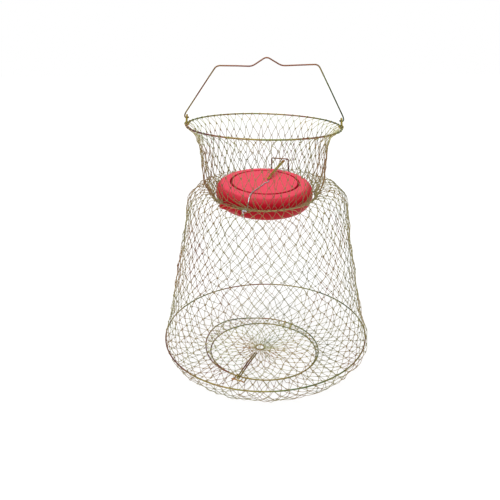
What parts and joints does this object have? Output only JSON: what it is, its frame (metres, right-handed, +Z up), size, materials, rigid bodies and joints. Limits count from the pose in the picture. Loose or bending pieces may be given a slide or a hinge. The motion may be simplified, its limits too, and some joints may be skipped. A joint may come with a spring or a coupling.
{
  "type": "collapsible wire keep basket",
  "caption": "Collapsible basket of plated wire netting on wire rings, with a sprung red float lid in its neck, a netted floor door and a wire bail handle.",
  "frame": {"origin": "on the ground below the middle of the basket", "axes": "+Z up through the mouth, X along the handle's pivot, -Y towards the lid's hinge side"},
  "size_m": [0.3496, 0.3496, 0.48],
  "materials": {
    "plated_wire": "yellow passivated zinc plate, gold to green with red patches",
    "netting_wire": "thin plated wire netting, dull gold brown",
    "red_plastic": "moulded, semi-gloss",
    "spring_wire": "bright spring wire"
  },
  "bodies": {
    "base": {"bottom_ring": "plated_wire", "floor_net": "netting_wire", "floor_rim_net": "netting_wire", "side_net_1": "netting_wire", "door_frame_ring": "plated_wire", "door_keeper": "plated_wire", "door_hinge_clip_left": "plated_wire", "door_hinge_clip_right": "plated_wire"},
    "floor_door": {"door_ring": "plated_wire", "door_net": "netting_wire", "door_centre_ring": "plated_wire"},
    "door_latch": {"door_latch": "plated_wire"},
    "side_2": {"side_net_2": "netting_wire"},
    "side_3": {"side_net_3": "netting_wire"},
    "side_4": {"side_net_4": "netting_wire"},
    "throat": {"shoulder_net_1": "netting_wire", "shoulder_net_2": "netting_wire", "shoulder_net_3": "netting_wire", "throat_ring": "plated_wire", "neck_net_1": "netting_wire", "lid_keeper": "plated_wire"},
    "lid": {"lid_top_shell": "red_plastic", "lid_bottom_shell": "red_plastic", "lid_catch_arm": "plated_wire", "lid_spring": "spring_wire"},
    "neck_2": {"neck_net_2": "netting_wire"},
    "rim": {"neck_net_3": "netting_wire", "top_ring": "plated_wire", "handle_ear_left": "plated_wire", "handle_ear_right": "plated_wire"},
    "handle": {"handle": "plated_wire"}
  },
  "joints": [
    {"name": "body_fold", "type": "slide", "parent": "base", "child": "side_2", "axis": [0, 0, 1], "range_m": [-0.059, 0]},
    {"name": "body_fold_2", "type": "slide", "parent": "side_2", "child": "side_3", "axis": [0, 0, 1], "range_m": [-0.059, 0]},
    {"name": "body_fold_3", "type": "slide", "parent": "side_3", "child": "side_4", "axis": [0, 0, 1], "range_m": [-0.059, 0]},
    {"name": "body_fold_4", "type": "slide", "parent": "side_4", "child": "throat", "axis": [0, 0, 1], "range_m": [-0.059, 0]},
    {"name": "neck_fold", "type": "slide", "parent": "throat", "child": "neck_2", "axis": [0, 0, 1], "range_m": [-0.029, 0]},
    {"name": "neck_fold_2", "type": "slide", "parent": "neck_2", "child": "rim", "axis": [0, 0, 1], "range_m": [-0.029, 0]},
    {"name": "lid_swing", "type": "hinge", "parent": "throat", "child": "lid", "pos_m": [-0.04682, -0.06213, 0.281], "axis": [-0.7986, 0.6018, 0], "range_deg": [0, 100], "stiffness_Nm_per_rad": 0.06, "springref_deg": -171.89, "deforming": ["lid_spring"]},
    {"name": "door_swing", "type": "hinge", "parent": "base", "child": "floor_door", "pos_m": [0.0451, 0.07277, 0.0105], "axis": [-0.8387, 0.5446, 0], "range_deg": [0, 85]},
    {"name": "door_latch_lift", "type": "hinge", "parent": "floor_door", "child": "door_latch", "pos_m": [-0.0168, -0.0335, 0.0131], "axis": [-0.9287, 0.3707, 0], "range_deg": [0, 50]},
    {"name": "handle_swing", "type": "hinge", "parent": "rim", "child": "handle", "pos_m": [0.00024, 0, 0.395], "axis": [0.9996, 0, -0.0297], "range_deg": [-90, 90]}
  ],
  "couplings": [
    {"joint": "body_fold_2", "follows": "body_fold", "ratio": 1},
    {"joint": "body_fold_3", "follows": "body_fold", "ratio": 1},
    {"joint": "body_fold_4", "follows": "body_fold", "ratio": 1},
    {"joint": "neck_fold_2", "follows": "neck_fold", "ratio": 1}
  ]
}
